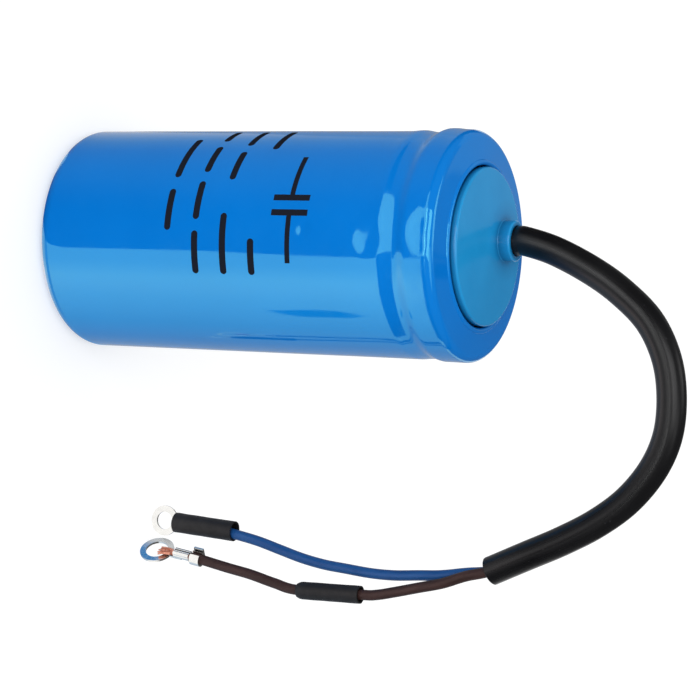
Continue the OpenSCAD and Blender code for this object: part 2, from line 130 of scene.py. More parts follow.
# Ring terminals: ring centre, lean and twist, and distances along the terminal
BLUE_LUG = ((68, 8.5, -91.5), 3.5, 90.0)
BROWN_LUG = ((75, 4.5, -91), 8.5, 36.0)
LUG_AXIS = 0.85
BLUE_GRIP = (9.5, 12.0)
BROWN_GRIP = (10.0, 12.5)
BROWN_BARREL = 5.2
BROWN_RING_R = 4.1

# Lead sleeves, the brown one drawn in at its foot
SLEEVE_LEN = 16.0
SLEEVE_WALL = 0.4
SLEEVE_GRAIN = 3.0
SLEEVE_GRAIN_ALONG = 5.0
SLEEVE_NARROWING = 3.0
BLUE_SLEEVE_R = 2.35
BLUE_SLEEVE_FROM = 3.5
BLUE_SLEEVE_DRIFT = 0.65
BLUE_SLEEVE_WOBBLE = 0.06
BROWN_SLEEVE_R = 2.05
BROWN_SLEEVE_TIP_R = 1.65
BROWN_SLEEVE_WOBBLE = 0.05

# Bare copper strands of the brown core, as layers of a count at a radius
STRAND_R = 0.15
STRAND_LAYERS = [(1, 0.0), (6, 0.26), (11, 0.5)]
STRAND_STAGGER = 0.3
STRAND_TWIST = 70.0
STRAND_BACK = 0.1
STRAND_INSIDE = 0.2
STRAND_RISE = 1.25
STRAND_OVER = 1.7
STRAND_DIP = 0.1
STRAND_TIP = 1.6
STRAND_DRIFT = 0.5
STRAND_RAGGED = 0.8
STRAND_RAGGED_GRAIN = (7.1, 31.0, 2.3)
# Widening and flattening of the bundle at each of its five stations
STRAND_SPLAYS = [(1.0, 1.0), (1.0, 1.0), (1.8, 0.85), (2.2, 0.7), (2.6, 0.6)]

# Steps and sides of the meshes, and the angle from which an edge stays sharp
ROUND_STEPS = 8
FOLD_STEPS = 16
LIP_STEPS = 18
FILM_STEPS = 256
FILM_ROWS = 190
FILM_INNER_ROWS = 38
CAP_STEPS = 192
CORD_SIDES = 48
CORE_SIDES = 24
STRAND_SIDES = 10
SLEEVE_STEPS = 24
ROUTE_STEPS = 10
STRAND_STEPS = 6
SHARP_ANGLE = 38.0


def metres(point):
    return Vector(point) * MM


# Geometry helpers

def arc(centre, radius, start, stop, steps=ROUND_STEPS):
    """Points of a circular arc in a plane, with angles in degrees."""
    points = []
    for i in range(steps + 1):
        angle = math.radians(start + (stop - start) * i / steps)
        points.append((centre[0] + radius * math.cos(angle), centre[1] + radius * math.sin(angle)))
    return points


def circle(centre, across, upright, radius, sides):
    """Ring of points round a centre, in the plane of two unit vectors."""
    turns = [2 * math.pi * k / sides for k in range(sides)]
    return [centre + radius * (math.cos(a) * across + math.sin(a) * upright) for a in turns]


def smooth_route(points, steps=ROUTE_STEPS):
    """Catmull-Rom curve through given points."""
    pts = [Vector(p) for p in points]
    ends = [2 * pts[0] - pts[1]] + pts + [2 * pts[-1] - pts[-2]]
    route = []
    for i in range(len(pts) - 1):
        a, b, c, d = ends[i:i + 4]
        for k in range(steps):
            t = k / steps
            route.append(0.5 * (2 * b + (c - a) * t + (2 * a - 5 * b + 4 * c - d) * t ** 2
                                + (3 * b - a - 3 * c + d) * t ** 3))
    return route + [pts[-1]]


def even_depth(points, keep):
    """Points with the small steps of their depth (y) evened out, except the first few and the last."""
    eased = [Vector(p) for p in points]
    for i in range(keep, len(points) - 1):
        eased[i].y = (points[i - 1].y + 2 * points[i].y + points[i + 1].y) / 4
    return eased


def frames(route):
    """Tangent and two side vectors at each point of a route, carried along without twist."""
    result = []
    across = Vector((1, 0, 0))
    for i, point in enumerate(route):
        ahead = route[min(i + 1, len(route) - 1)]
        behind = route[max(i - 1, 0)]
        tangent = (ahead - behind).normalized()
        across = (across - across.dot(tangent) * tangent).normalized()
        result.append((point, tangent, across, tangent.cross(across)))
    return result


def tube_rings(route, radius, sides):
    return [circle(point, across, upright, radius, sides) for point, _, across, upright in frames(route)]


def skin(name, rings, closed=False):
    """Mesh object over a row of equal rings in millimetres, capped at its ends unless it closes on itself."""
    count, sides = len(rings), len(rings[0])
    along = [0.0]
    for a, b in zip(rings, rings[1:]):
        along.append(along[-1] + (b[0] - a[0]).length)
    along.append(along[-1] + (rings[0][0] - rings[-1][0]).length)
    heights = [length * MM for length in along]
    faces, corners = [], []
    for j in range(count if closed else count - 1):
        low, high = j * sides, (j + 1) % count * sides
        for k in range(sides):
            n = (k + 1) % sides
            faces.append((low + k, low + n, high + n, high + k))
            u, w = k / sides, (k + 1) / sides
            corners += [(u, heights[j]), (w, heights[j]), (w, heights[j + 1]), (u, heights[j + 1])]
    if not closed:
        faces += [tuple(range(sides - 1, -1, -1)), tuple((count - 1) * sides + k for k in range(sides))]
        corners += [(0.0, 0.0)] * sides + [(0.0, heights[-2])] * sides
    mesh = bpy.data.meshes.new(name)
    mesh.from_pydata([p * MM for ring in rings for p in ring], [], faces)
    layer = mesh.uv_layers.new(name="UVMap")
    layer.data.foreach_set("uv", [x for corner in corners for x in corner])
    return finish_mesh(name, mesh)


def finish_mesh(name, mesh):
    """Turns the normals outward, smooths the shading and links the object."""
    work = bmesh.new()
    work.from_mesh(mesh)
    bmesh.ops.recalc_face_normals(work, faces=work.faces)
    work.to_mesh(mesh)
    work.free()
    mesh.polygons.foreach_set("use_smooth", [True] * len(mesh.polygons))
    mesh.set_sharp_from_angle(angle=math.radians(SHARP_ANGLE))
    obj = bpy.data.objects.new(name, mesh)
    bpy.context.scene.collection.objects.link(obj)
    return obj


def lathe_rings(profile, steps, warp):
    """Rings of a revolved profile of (radius, height) points, each moved outward by warp(angle, height)."""
    rings = []
    for radius, z in profile:
        ring = []
        for k in range(steps):
            angle = 2 * math.pi * k / steps
            r = radius + warp(angle, z)
            ring.append(Vector((r * math.sin(angle), -r * math.cos(angle), z)))
        rings.append(ring)
    return rings


def place(obj, slot, *nodes):
    """Carries a piece on the object's body and hides the solids it stands for. Its slot is not used."""
    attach(obj, "root")
    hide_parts(*nodes)
    return obj


def lug_matrix(lug):
    """Place of a terminal: local X leads up the core and local Z is the normal of the ring."""
    turn, lean, twist = lug
    return (Matrix.Translation(EXIT + Vector(turn)) @ Matrix.Rotation(math.radians(lean), 4, "Y")
            @ Matrix.Rotation(math.radians(twist), 4, "Z") @ Matrix.Rotation(math.radians(-90), 4, "Y"))


def from_exit(points):
    return [EXIT + Vector(p) for p in points]


# Camera

def make_camera():
    data = bpy.data.cameras.new("view")
    data.sensor_width = SENSOR
    data.lens = LENS
    data.clip_start = CLIP_START * MM
    camera = bpy.data.objects.new("view", data)
    tilt = math.radians(VIEW_TILT)
    back = Vector((0, -math.cos(tilt), math.sin(tilt))) * VIEW_DISTANCE
    camera.matrix_world = (Matrix.Translation(metres(Vector(VIEW_AIM) + back))
                           @ Matrix.Rotation(math.radians(90) - tilt, 4, "X")
                           @ Matrix.Rotation(math.radians(VIEW_TURN), 4, "Z"))
    bpy.context.scene.collection.objects.link(camera)
    bpy.context.scene.camera = camera


make_camera()


# Cable and cores

def make_jacket():
    """Cable jacket with an open mouth at its cut end. Its first three points stay in line with the boss."""
    route = smooth_route(even_depth([CABLE_START] + from_exit(JACKET_TURNS), keep=3))
    stations = frames(route)
    bore = CABLE_R - CABLE_WALL
    rings = tube_rings(route, CABLE_R, CORD_SIDES)[:-1]
    end, tangent, across, upright = stations[-1]
    rings += [circle(end - CABLE_EDGE * tangent, across, upright, CABLE_R, CORD_SIDES),
              circle(end, across, upright, CABLE_R - CABLE_EDGE, CORD_SIDES),
              circle(end, across, upright, bore, CORD_SIDES)]
    depth = 0.0
    for (a, *_), (b, _, across, upright) in zip(stations[:0:-1], stations[-2::-1]):
        depth += (a - b).length
        rings.append(circle(b, across, upright, bore, CORD_SIDES))
        if depth > CABLE_MOUTH:
            break
    jacket = place(skin("cable", rings), "jacket_black", "cable_jacket")
    return jacket, route


def make_core(name, slot, node, shift, turns, lug, entry):
    """Insulated core from inside the mouth of the jacket to its terminal, shifted sideways in the mouth."""
    end, tangent, _, _ = frames(jacket_route)[-1]
    mouth = end + Vector((0, shift, 0))
    start = mouth - CORE_STUB * tangent
    inner = [lug_matrix(lug) @ Vector(p) for p in entry]
    route = smooth_route(even_depth([start, mouth] + turns + inner[:1], keep=2) + inner[1:])
    return place(skin(name, tube_rings(route, CORE_R, CORE_SIDES)), slot, node), route


cable, jacket_route = make_jacket()
brown_sleeve_top = EXIT + Vector(BROWN_SLEEVE_TOP)
brown_sleeve_down = Matrix.Rotation(math.radians(BROWN_SLEEVE_LEAN), 3, "Y") @ Vector((0, 0, -SLEEVE_LEN))
brown_sleeve_foot = brown_sleeve_top + brown_sleeve_down
blue_core, blue_route = make_core(
    "blue_wire", "core_blue", "blue_core", CORE_SHIFT, from_exit(BLUE_TURNS), BLUE_LUG,
    [(BLUE_SLEEVE_FROM + SLEEVE_LEN, -BLUE_SLEEVE_DRIFT, LUG_AXIS), (BLUE_GRIP[1], 0, LUG_AXIS),
     (BLUE_GRIP[0], 0, LUG_AXIS)])
brown_core, brown_route = make_core(
    "brown_wire", "core_brown", "brown_core", -CORE_SHIFT,
    from_exit(BROWN_TURNS) + [brown_sleeve_top, brown_sleeve_foot] + from_exit(BROWN_RETURNS), BROWN_LUG,
    [(BROWN_GRIP[1], 0, LUG_AXIS), (BROWN_GRIP[0], 0, LUG_AXIS)])


# Lead sleeves

def sleeve_radius(radius, tip, left):
    """Radius of a tube at a distance from its foot, where it may be drawn in to a tip radius."""
    if tip is None:
        return radius
    share = min(1.0, left / (radius - tip) / SLEEVE_NARROWING)
    return tip + (radius - tip) * math.sin(share * math.pi / 2)


def sleeve_rings(top, foot, radius, wobble, tip=None):
    """Soft tube between two points, its wall closed over both ends."""
    axis = (foot - top).normalized()
    across = axis.orthogonal().normalized()
    upright = axis.cross(across)
    length = (foot - top).length

    def ring(share, inset):
        outer = sleeve_radius(radius, tip, (1.0 - share) * length)
        centre = top + (foot - top) * share
        points = []
        for k in range(CORD_SIDES):
            a = 2 * math.pi * k / CORD_SIDES
            spot = Vector((SLEEVE_GRAIN * math.cos(a), SLEEVE_GRAIN * math.sin(a),
                           SLEEVE_GRAIN_ALONG * share + radius))
            reach = outer - inset + wobble * noise.noise(spot)
            points.append(centre + reach * (math.cos(a) * across + math.sin(a) * upright))
        return points

    shares = [i / SLEEVE_STEPS for i in range(SLEEVE_STEPS + 1)]
    return [ring(s, 0.0) for s in shares] + [ring(s, SLEEVE_WALL) for s in reversed(shares)]


def make_lead_sleeves():
    seat = lug_matrix(BLUE_LUG)
    mouth = seat @ Vector((BLUE_SLEEVE_FROM + SLEEVE_LEN, 0, LUG_AXIS))
    foot = seat @ Vector((BLUE_SLEEVE_FROM, 0, LUG_AXIS))
    rings = sleeve_rings(mouth, foot, BLUE_SLEEVE_R, BLUE_SLEEVE_WOBBLE)
    blue = place(skin("blue_tube", rings, closed=True), "lead_sleeve_black", "blue_lead_sleeve")
    rings = sleeve_rings(brown_sleeve_top, brown_sleeve_foot, BROWN_SLEEVE_R, BROWN_SLEEVE_WOBBLE,
                         tip=BROWN_SLEEVE_TIP_R)
    brown = place(skin("brown_tube", rings, closed=True), "lead_sleeve_black", "brown_lead_sleeve")
    return blue, brown


blue_tube, brown_tube = make_lead_sleeves()


# Copper strands

def strand_rings(layer_radius, angle, seat):
    """One strand: twisted in the crimp, rising on to the ring and spreading over its hole."""
    stations = [(BROWN_GRIP[0] - STRAND_BACK, LUG_AXIS), (BROWN_BARREL + STRAND_INSIDE, LUG_AXIS),
                (BROWN_RING_R, STRAND_RISE), (BROWN_RING_R - STRAND_OVER, STRAND_RISE),
                (STRAND_TIP, STRAND_RISE - STRAND_DIP)]
    by_angle, by_radius, start = STRAND_RAGGED_GRAIN
    ragged = STRAND_RAGGED * noise.noise(Vector((by_angle * angle, by_radius * layer_radius, start)))
    points = []
    for (x, z), (wide, deep) in zip(stations, STRAND_SPLAYS):
        turn = angle + math.radians(STRAND_TWIST) * (1 - x / stations[0][0])
        y = layer_radius * wide * math.cos(turn) - STRAND_DRIFT * (wide - 1)
        points.append(Vector((x, y, z + layer_radius * deep * math.sin(turn))))
    points[-1].x += ragged
    return tube_rings(smooth_route([seat @ p for p in points], STRAND_STEPS), STRAND_R, STRAND_SIDES)


def make_strands():
    seat = lug_matrix(BROWN_LUG)
    strands = []
    for count, radius in STRAND_LAYERS:
        for k in range(count):
            turn = 2 * math.pi * (k + STRAND_STAGGER * radius) / count
            strands.append(skin(f"strand_{len(strands):02d}", strand_rings(radius, turn, seat)))
    with bpy.context.temp_override(active_object=strands[0], selected_editable_objects=strands):
        bpy.ops.object.join()
    bundle = strands[0]
    bundle.name = "copper_strands"
    return place(bundle, "strand_copper", "brown_strands")


copper_strands = make_strands()


# Shrink film

def film_dent(angle, z):
    """Unevenness of the film: waves, creases beside the bead, ridges and dimples."""
    where = Vector((math.sin(angle), -math.cos(angle), 0.0))
    near_bead = math.exp(-((z - BEAD_Z) / CREASE_REACH) ** 2)
    wave = noise.noise(Vector((WAVE_GRAIN * where.x, WAVE_GRAIN * where.y, z / WAVE_HEIGHT)))
    crease = noise.noise(Vector((CREASE_GRAIN * where.x, CREASE_GRAIN * where.y,
                                 z / CREASE_HEIGHT + CREASE_START)))
    dimple = 0.0
    girth = BODY_R * (angle if angle < math.pi else angle - 2 * math.pi)
    for along, up, half_w, half_h, depth in DIMPLES:
        reach = math.hypot((girth - along) / half_w, (z - up) / half_h)
        reach += DIMPLE_RAGGED * noise.noise(Vector((girth / DIMPLE_GRAIN, z / DIMPLE_GRAIN, up)))
        if reach < 1.0:
            dimple += depth * (1 + math.cos(math.pi * max(reach, 0.0))) / 2
    ridge = sum(rise * math.exp(-((z - up) / half) ** 2) for up, rise, half in RIDGES)
    ridge *= max(0.0, -math.sin(angle)) ** 2
    return WAVE_DEPTH * wave + near_bead * CREASE_DEPTH * crease + ridge - dimple


def bead_depth(angle):
    """The film sinks deepest over the bead at the front and least at the back."""
    return BEAD_DEPTH * (1.0 - (1.0 - BEAD_BACK_SHARE) * (1.0 - math.cos(angle)) / 2)


def bead_dip(angle, z):
    """Depth of the film over the bead: straight flanks, long towards the foot, with softened ends."""
    reach = (BEAD_Z - z) / BEAD_BELOW if z < BEAD_Z else (z - BEAD_Z) / BEAD_ABOVE
    if reach >= 1.0:
        return 0.0
    softening = 2 * BEAD_SOFT * (1.0 - BEAD_SOFT)
    if reach > 1.0 - BEAD_SOFT:
        share = (1.0 - reach) ** 2 / softening
    else:
        share = (1.0 - reach) / (1.0 - BEAD_SOFT) - BEAD_SOFT ** 2 / softening
    if reach < BEAD_SOFT:
        share -= (BEAD_SOFT - reach) ** 2 / softening
    return bead_depth(angle) * share


def film_profile(inset, rows):
    """Half section of the film from its fold under the foot to its tuck beside the cap."""
    shoulder_r = BODY_R + RIM_SWELL - SHOULDER_ROUND
    shoulder_z = BODY_H - SHOULDER_DROP
    rise = shoulder_z - SHOULDER_ROUND - FOOT_ROUND
    side = []
    for i in range(1, rows):
        z = FOOT_ROUND + rise * i / rows
        swell = min(max((z - BEAD_Z + BEAD_ABOVE) / (2 * BEAD_ABOVE), 0.0), 1.0)
        side.append((BODY_R + RIM_SWELL * swell - inset, z))
    lip = arc(LIP_ROLL_AT, LIP_ROLL_R - inset, LIP_ROLL_FROM, 180, LIP_STEPS)
    return ([(FOOT_OPEN_R, inset)]
            + arc((BODY_R - FOOT_ROUND, FOOT_ROUND), FOOT_ROUND - inset, -90, 0, FOLD_STEPS)
            + side
            + arc((shoulder_r, shoulder_z - SHOULDER_ROUND), SHOULDER_ROUND - inset, 0, 90, FOLD_STEPS)
            + lip + [(lip[-1][0], lip[-1][1] - LIP_TUCK)])


def make_film():
    def warp(angle, z):
        return film_dent(angle, z) - bead_dip(angle, z)

    outer = lathe_rings(film_profile(0.0, FILM_ROWS), FILM_STEPS, warp)
    inner = lathe_rings(film_profile(FILM_WALL, FILM_INNER_ROWS), FILM_STEPS, warp)
    return place(skin("shrink_film", outer + inner[::-1], closed=True), "sleeve_blue", "shrink_sleeve")


film = make_film()


# End cap

def make_cap():
    """Cap and boss in one moulding: rings pass from the axis of the boss to the axis of the cap."""
    ceiling = CAP_TOP - CAP_PLATE
    boss_rows = [(BOSS_HOLE_R, ceiling)]
    boss_rows += arc((BOSS_HOLE_R + BOSS_HOLE_ROUND, BOSS_TOP - BOSS_HOLE_ROUND), BOSS_HOLE_ROUND, 180, 90)
    boss_rows += arc((BOSS_R - BOSS_ROUND, BOSS_TOP - BOSS_ROUND), BOSS_ROUND, 90, 0)
    boss_rows += arc((BOSS_R + BOSS_FILLET, CAP_TOP + BOSS_FILLET), BOSS_FILLET, 180, 270)
    cap_rows = arc((CAP_R - CAP_EDGE_ROUND, CAP_TOP - CAP_EDGE_ROUND), CAP_EDGE_ROUND, 90, 0)
    cap_rows += [(CAP_R, FLANGE_TOP), (FLANGE_R, FLANGE_TOP), (FLANGE_R, CAP_FOOT_Z),
                 (CAP_BORE_R, CAP_FOOT_Z), (CAP_BORE_R, ceiling)]
    east, north = Vector((1, 0, 0)), Vector((0, 1, 0))
    rings = [circle(Vector((*BOSS_AT, z)), east, north, r, CAP_STEPS) for r, z in boss_rows]
    rings += [circle(Vector((0, 0, z)), east, north, r, CAP_STEPS) for r, z in cap_rows]
    return place(skin("moulded_cap", rings, closed=True), "cap_blue", "end_cap")


cap = make_cap()


# Material helpers

EVEN = (1.0, 1.0, 1.0)


def shader(name, color, roughness, metallic=0.0):
    """Material with a plain colour and roughness, which stand where its nodes aren't read."""
    material = bpy.data.materials.new(name)
    material.use_nodes = True
    tree = material.node_tree
    bsdf = tree.nodes["Principled BSDF"]
    bsdf.inputs["Base Color"].default_value = (*color, 1.0)
    bsdf.inputs["Roughness"].default_value = roughness
    bsdf.inputs["Metallic"].default_value = metallic
    return material, tree, bsdf


def math_node(tree, operation, *values):
    node = tree.nodes.new("ShaderNodeMath")
    node.operation = operation
    for socket, value in zip(node.inputs, values):
        if isinstance(value, (int, float)):
            socket.default_value = value
        else:
            tree.links.new(value, socket)
    return node.outputs[0]


def grain(tree, scale, detail=3.0, stretch=EVEN, coordinates="Object"):
    """Noise over the surface, with scale in cycles per metre and a stretch along each axis."""
    source = tree.nodes.new("ShaderNodeTexCoord")
    mapping = tree.nodes.new("ShaderNodeMapping")
    mapping.inputs["Scale"].default_value = stretch
    tree.links.new(source.outputs[coordinates], mapping.inputs["Vector"])
    texture = tree.nodes.new("ShaderNodeTexNoise")
    texture.inputs["Scale"].default_value = scale
    texture.inputs["Detail"].default_value = detail
    tree.links.new(mapping.outputs["Vector"], texture.inputs["Vector"])
    return texture.outputs["Fac"]


def spread(tree, factor, low, high, start=0.3, stop=0.7):
    """Stretches a factor between two limits to a range."""
    node = tree.nodes.new("ShaderNodeMapRange")
    node.inputs["From Min"].default_value = start
    node.inputs["From Max"].default_value = stop
    node.inputs["To Min"].default_value = low
    node.inputs["To Max"].default_value = high
    tree.links.new(factor, node.inputs["Value"])
    return node.outputs["Result"]


def mix(tree, factor, first, second):
    """Colour between two, each a socket or a constant."""
    node = tree.nodes.new("ShaderNodeMix")
    node.data_type = "RGBA"
    tree.links.new(factor, node.inputs["Factor"])
    for key, value in (("A", first), ("B", second)):
        socket = next(s for s in node.inputs if s.name == key and s.type == "RGBA")
        if isinstance(value, tuple):
            socket.default_value = (*value, 1.0)
        else:
            tree.links.new(value, socket)
    return next(s for s in node.outputs if s.type == "RGBA")


def mottle(tree, low, high, scale, detail=3.0, stretch=EVEN, coordinates="Object"):
    """Colour that wanders between two over the surface."""
    return mix(tree, spread(tree, grain(tree, scale, detail, stretch, coordinates), 0.0, 1.0), low, high)


def paint(tree, bsdf, color):
    tree.links.new(color, bsdf.inputs["Base Color"])


def roughen(tree, bsdf, low, high, scale, detail=3.0, stretch=EVEN):
    """Roughness that wanders between two values over the surface."""
    tree.links.new(spread(tree, grain(tree, scale, detail, stretch), low, high), bsdf.inputs["Roughness"])


def relief(tree, bsdf, height, depth, strength):
    """Bump from a height, with its depth in metres."""
    node = tree.nodes.new("ShaderNodeBump")
    node.inputs["Distance"].default_value = depth
    node.inputs["Strength"].default_value = strength
    tree.links.new(height, node.inputs["Height"])
    tree.links.new(node.outputs["Normal"], bsdf.inputs["Normal"])


def corner_shade(tree, reach, start, stop):
    """Zero in narrow gaps and corners, one on open faces, as far as a reach in metres tells."""
    corner = tree.nodes.new("ShaderNodeAmbientOcclusion")
    corner.inputs["Distance"].default_value = reach
    return spread(tree, corner.outputs["AO"], 0.0, 1.0, start, stop)


# Printed sign of a capacitor, as place along the girth, height, half width and half height
SIGN_MARKS = [(-14.5, 64.5, 5.2, 0.6), (-8.7, 64.5, 0.7, 4.4), (-5.3, 64.5, 0.7, 4.4), (0.5, 64.5, 5.2, 0.6)]
# Printed rows of plain bars, as the height of a row and where each bar starts and stops along the girth
BAR_ROWS = [
    (55.5, [(-33, -22.5), (0.5, 8.5)]),
    (48.5, [(-33, -24), (-21.5, -13), (-5, 8.5)]),
    (41.5, [(-33, -26), (-23.5, -15), (-12.5, -3.5), (-1, 8.5)]),
    (34.5, [(-27, -13.5), (-10.5, -1)])]
BAR_HALF = 0.8
INK = (0.012, 0.014, 0.022)

# Gloss of the film, which the ink lacks
FILM_IOR = 1.8
FILM_TINT = (0.27, 1.0, 0.65, 1.0)
FILM_GLOSS = 0.9


def bar_row(tree, girth, height, up, bars):
    """One on a row of bars with round ends, and zero elsewhere."""
    gap = None
    for start, stop in bars:
        middle = math_node(tree, "ABSOLUTE", math_node(tree, "SUBTRACT", girth, (start + stop) / 2))
        away = math_node(tree, "SUBTRACT", middle, (stop - start) / 2 - BAR_HALF)
        gap = away if gap is None else math_node(tree, "MINIMUM", gap, away)
    gap = math_node(tree, "MAXIMUM", gap, 0.0)
    drop = math_node(tree, "SUBTRACT", height, up)
    gap_square = math_node(tree, "MULTIPLY", gap, gap)
    drop_square = math_node(tree, "MULTIPLY", drop, drop)
    return math_node(tree, "LESS_THAN", math_node(tree, "ADD", gap_square, drop_square), BAR_HALF ** 2)


def print_mask(tree):
    """One where a mark of the print lies on the can, and zero elsewhere."""
    source = tree.nodes.new("ShaderNodeTexCoord")
    split = tree.nodes.new("ShaderNodeSeparateXYZ")
    tree.links.new(source.outputs["Object"], split.inputs["Vector"])
    front = math_node(tree, "MULTIPLY", split.outputs["Y"], -1.0)
    girth = math_node(tree, "MULTIPLY", math_node(tree, "ARCTAN2", split.outputs["X"], front), BODY_R)
    height = math_node(tree, "DIVIDE", split.outputs["Z"], MM)
    marks = [bar_row(tree, girth, height, up, bars) for up, bars in BAR_ROWS]
    for along, up, half_w, half_h in SIGN_MARKS:
        wide = math_node(tree, "COMPARE", girth, along, half_w)
        tall = math_node(tree, "COMPARE", height, up, half_h)
        marks.append(math_node(tree, "MULTIPLY", wide, tall))
    mask = marks[0]
    for mark in marks[1:]:
        mask = math_node(tree, "MAXIMUM", mask, mark)
    return mask


# Materials

def film_material():
    """Glossy blue film, faintly clouded, with a print in matt ink."""
    material, tree, bsdf = shader("film_blue", color=(0.001, 0.195, 0.7), roughness=0.1)
    bsdf.inputs["IOR"].default_value = FILM_IOR
    bsdf.inputs["Specular Tint"].default_value = FILM_TINT
    blue = mottle(tree, low=(0.0007, 0.187, 0.68), high=(0.0014, 0.203, 0.72), scale=40.0, detail=2.0)
    ink = print_mask(tree)
    paint(tree, bsdf, mix(tree, ink, blue, INK))
    gloss = spread(tree, ink, low=FILM_GLOSS, high=0.0, start=0.0, stop=1.0)
    tree.links.new(gloss, bsdf.inputs["Specular IOR Level"])
    roughen(tree, bsdf, low=0.05, high=0.11, scale=300.0)
    ripple = grain(tree, scale=130.0, detail=2.0, stretch=(1.0, 1.0, 0.4))
    relief(tree, bsdf, ripple, depth=0.00003, strength=0.4)
    return material


def cap_material():
    """Moulded cap with a satin face and painted shade in its corners."""
    material, tree, bsdf = shader("cap_blue", color=(0.012, 0.28, 0.62), roughness=0.16)
    plain = mottle(tree, low=(0.01, 0.27, 0.61), high=(0.014, 0.3, 0.66), scale=90.0)
    open_face = corner_shade(tree, reach=0.005, start=0.3, stop=1.0)
    # The dark colour is painted shade, laid where corners and gaps hem the cap in
    paint(tree, bsdf, mix(tree, open_face, (0.002, 0.06, 0.18), plain))
    roughen(tree, bsdf, low=0.13, high=0.2, scale=500.0)
    relief(tree, bsdf, grain(tree, scale=900.0, detail=2.0), depth=0.000008, strength=0.3)
    return material


def jacket_material():
    """Black jacket with faint drawing lines along its length and a few pale specks."""
    material, tree, bsdf = shader("jacket_black", color=(0.004, 0.004, 0.005), roughness=0.3)
    bsdf.inputs["Specular IOR Level"].default_value = 0.42
    lines = grain(tree, scale=1.0, detail=2.0, stretch=(40.0, 25.0, 1.0), coordinates="UV")
    specks = spread(tree, grain(tree, scale=2200.0, detail=1.0), low=0.0, high=1.0, start=0.76, stop=0.8)
    dark = mottle(tree, low=(0.003, 0.003, 0.004), high=(0.006, 0.006, 0.007), scale=120.0)
    paint(tree, bsdf, mix(tree, specks, dark, (0.04, 0.04, 0.045)))
    tree.links.new(spread(tree, lines, low=0.25, high=0.36), bsdf.inputs["Roughness"])
    relief(tree, bsdf, lines, depth=0.00006, strength=0.3)
    return material


def insulation_material(name, low, high, roughness):
    """Core insulation, streaked along its length."""
    material, tree, bsdf = shader(name, high, roughness)
    bsdf.inputs["Specular IOR Level"].default_value = 0.28
    paint(tree, bsdf, mottle(tree, low, high, scale=1.0, stretch=(6.0, 120.0, 1.0), coordinates="UV"))
    either_way = 0.07
    roughen(tree, bsdf, roughness - either_way, roughness + either_way, scale=800.0)
    relief(tree, bsdf, grain(tree, scale=1200.0, detail=2.0), depth=0.00003, strength=0.4)
    return material


def tube_material():
    """Matt black tubing."""
    material, tree, bsdf = shader("tube_black", color=(0.011, 0.01, 0.012), roughness=0.5)
    bsdf.inputs["Specular IOR Level"].default_value = 0.3
    black = mottle(tree, low=(0.0085, 0.0078, 0.0088), high=(0.014, 0.013, 0.0145), scale=350.0, detail=4.0)
    paint(tree, bsdf, black)
    roughen(tree, bsdf, low=0.42, high=0.6, scale=900.0)
    relief(tree, bsdf, grain(tree, scale=1500.0), depth=0.00004, strength=0.5)
    return material


def metal_material(name, low, high, roughness, scale=600.0, stretch=EVEN):
    """Bare metal, a little uneven in colour and polish."""
    material, tree, bsdf = shader(name, high, roughness, metallic=1.0)
    paint(tree, bsdf, mottle(tree, low, high, scale, detail=4.0, stretch=stretch))
    either_way = 0.25 * roughness
    roughen(tree, bsdf, roughness - either_way, roughness + either_way, 2 * scale, stretch=stretch)
    relief(tree, bsdf, grain(tree, 3 * scale, stretch=stretch), depth=0.00001, strength=0.4)
    return material


def tin_material():
    """Tin plate, with painted shade in the seam, the notch and the corners of the crimp."""
    material, tree, bsdf = shader("tin_plate", color=(0.9, 0.885, 0.85), roughness=0.2, metallic=1.0)
    plate = mottle(tree, low=(0.86, 0.845, 0.81), high=(0.97, 0.955, 0.92), scale=600.0, detail=4.0)
    open_face = corner_shade(tree, reach=0.0007, start=0.35, stop=0.85)
    # The dark colour is painted shade in the seam, the notch and the corners of the crimp
    paint(tree, bsdf, mix(tree, open_face, (0.07, 0.07, 0.075), plate))
    roughen(tree, bsdf, low=0.15, high=0.26, scale=1200.0)
    relief(tree, bsdf, grain(tree, scale=1800.0), depth=0.00001, strength=0.4)
    return material


def fibre_material(name, low, high, roughness):
    """Board or rubber: mottled, with a fine rough face."""
    material, tree, bsdf = shader(name, high, roughness)
    paint(tree, bsdf, mottle(tree, low, high, scale=400.0, detail=5.0))
    either_way = 0.08
    roughen(tree, bsdf, roughness - either_way, roughness + either_way, scale=800.0)
    relief(tree, bsdf, grain(tree, scale=1600.0, detail=4.0), depth=0.00005, strength=0.5)
    return material


def winding_material():
    """Wound paper and foil: rings of turns on its ends."""
    material, tree, bsdf = shader("winding_paper", color=(0.62, 0.53, 0.34), roughness=0.7)
    source = tree.nodes.new("ShaderNodeTexCoord")
    wave = tree.nodes.new("ShaderNodeTexWave")
    wave.wave_type = "RINGS"
    wave.rings_direction = "Z"
    wave.inputs["Scale"].default_value = 900.0
    wave.inputs["Distortion"].default_value = 0.6
    tree.links.new(source.outputs["Object"], wave.inputs["Vector"])
    turns = wave.outputs["Fac"]
    paint(tree, bsdf, mix(tree, turns, (0.5, 0.42, 0.26), (0.68, 0.6, 0.42)))
    relief(tree, bsdf, turns, depth=0.00005, strength=0.4)
    return material


def dress(obj, material):
    if obj.material_slots:
        obj.material_slots[0].material = material
    else:
        obj.data.materials.append(material)


def dress_pieces(tube, copper):
    """Gives the scene's own pieces their materials."""
    dress(film, film_material())
    dress(cap, cap_material())
    dress(cable, jacket_material())
    dress(blue_core, insulation_material(
        "core_blue", low=(0.006, 0.055, 0.2), high=(0.014, 0.085, 0.27), roughness=0.36))
    dress(brown_core, insulation_material(
        "core_brown", low=(0.026, 0.0105, 0.009), high=(0.052, 0.023, 0.02), roughness=0.5))
    dress(blue_tube, tube)
    dress(brown_tube, tube)
    dress(copper_strands, copper)


